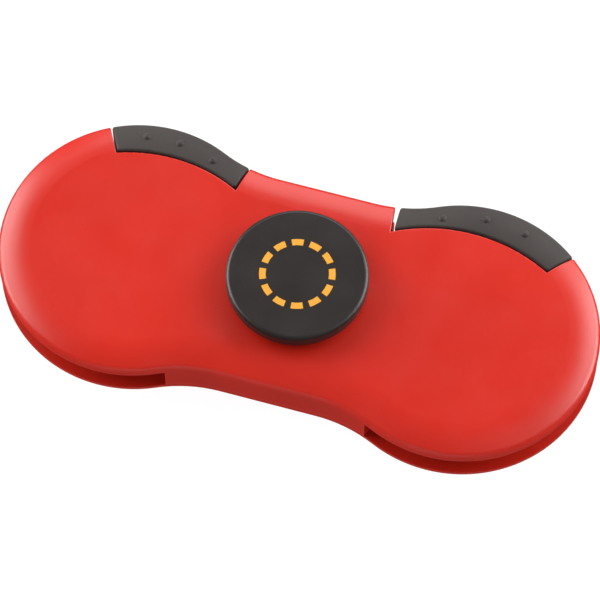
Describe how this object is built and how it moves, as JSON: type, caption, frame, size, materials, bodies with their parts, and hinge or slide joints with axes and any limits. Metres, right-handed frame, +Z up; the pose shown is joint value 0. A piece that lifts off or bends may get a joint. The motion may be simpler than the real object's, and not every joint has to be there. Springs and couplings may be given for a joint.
{
  "type": "fidget spinner",
  "caption": "Flat two-lobed fidget spinner on a ball bearing with finger caps; a magnifying lens and a mirror swing out of its lobes by rear grips.",
  "frame": {"origin": "centre of the ball bearing, halfway through the thickness", "axes": "+Z up through the top finger cap along the spin axis, +X along the length towards the magnifier's lobe, +Y towards the side with the grips"},
  "size_m": [0.102, 0.0458, 0.0184],
  "materials": {
    "shell": "satin moulded red plastic",
    "cap": "satin near-black plastic",
    "grip": "soft-touch charcoal",
    "frame": "fine-textured black plastic",
    "lens": "clear polished",
    "mirror": "silvered",
    "race": "ground bearing steel",
    "ball": "polished bearing steel",
    "cage": "natural nylon",
    "shield": "pressed sheet steel",
    "brass": "turned",
    "fastener": "zinc plated",
    "washer": "low-friction plastic"
  },
  "bodies": {
    "hub": {"top_cap": "cap", "bottom_cap": "cap", "hub_sleeve": "brass", "bearing_inner_race": "race"},
    "ball_set": {"ball_cage": "cage", "bearing_balls": "ball"},
    "rotor": {"upper_shell": "shell", "lower_shell": "shell", "bearing_outer_race": "race", "bearing_upper_shield": "shield", "bearing_lower_shield": "shield", "case_screws": "fastener", "right_pivot_pin": "fastener", "left_pivot_pin": "fastener", "right_pivot_washers": "washer", "left_pivot_washers": "washer"},
    "magnifier": {"magnifier_arm": "frame", "magnifier_grip": "grip", "magnifier_lens": "lens", "lens_retainer": "frame"},
    "mirror": {"mirror_arm": "frame", "mirror_grip": "grip", "mirror_disc": "mirror", "mirror_retainer": "frame"}
  },
  "joints": [
    {"name": "spin", "type": "hinge", "parent": "hub", "child": "rotor", "pos_m": [0, 0, 0], "axis": [0, 0, 1], "continuous": true},
    {"name": "ball_orbit", "type": "hinge", "parent": "hub", "child": "ball_set", "pos_m": [0, 0, 0], "axis": [0, 0, 1], "continuous": true},
    {"name": "magnifier_swing", "type": "hinge", "parent": "rotor", "child": "magnifier", "pos_m": [0.007, 0.0166, 0], "axis": [0, 0, 1], "range_deg": [0, 90]},
    {"name": "mirror_swing", "type": "hinge", "parent": "rotor", "child": "mirror", "pos_m": [-0.007, 0.0166, 0], "axis": [0, 0, -1], "range_deg": [0, 90]}
  ],
  "couplings": [
    {"joint": "ball_orbit", "follows": "spin", "ratio": 0.6329}
  ]
}
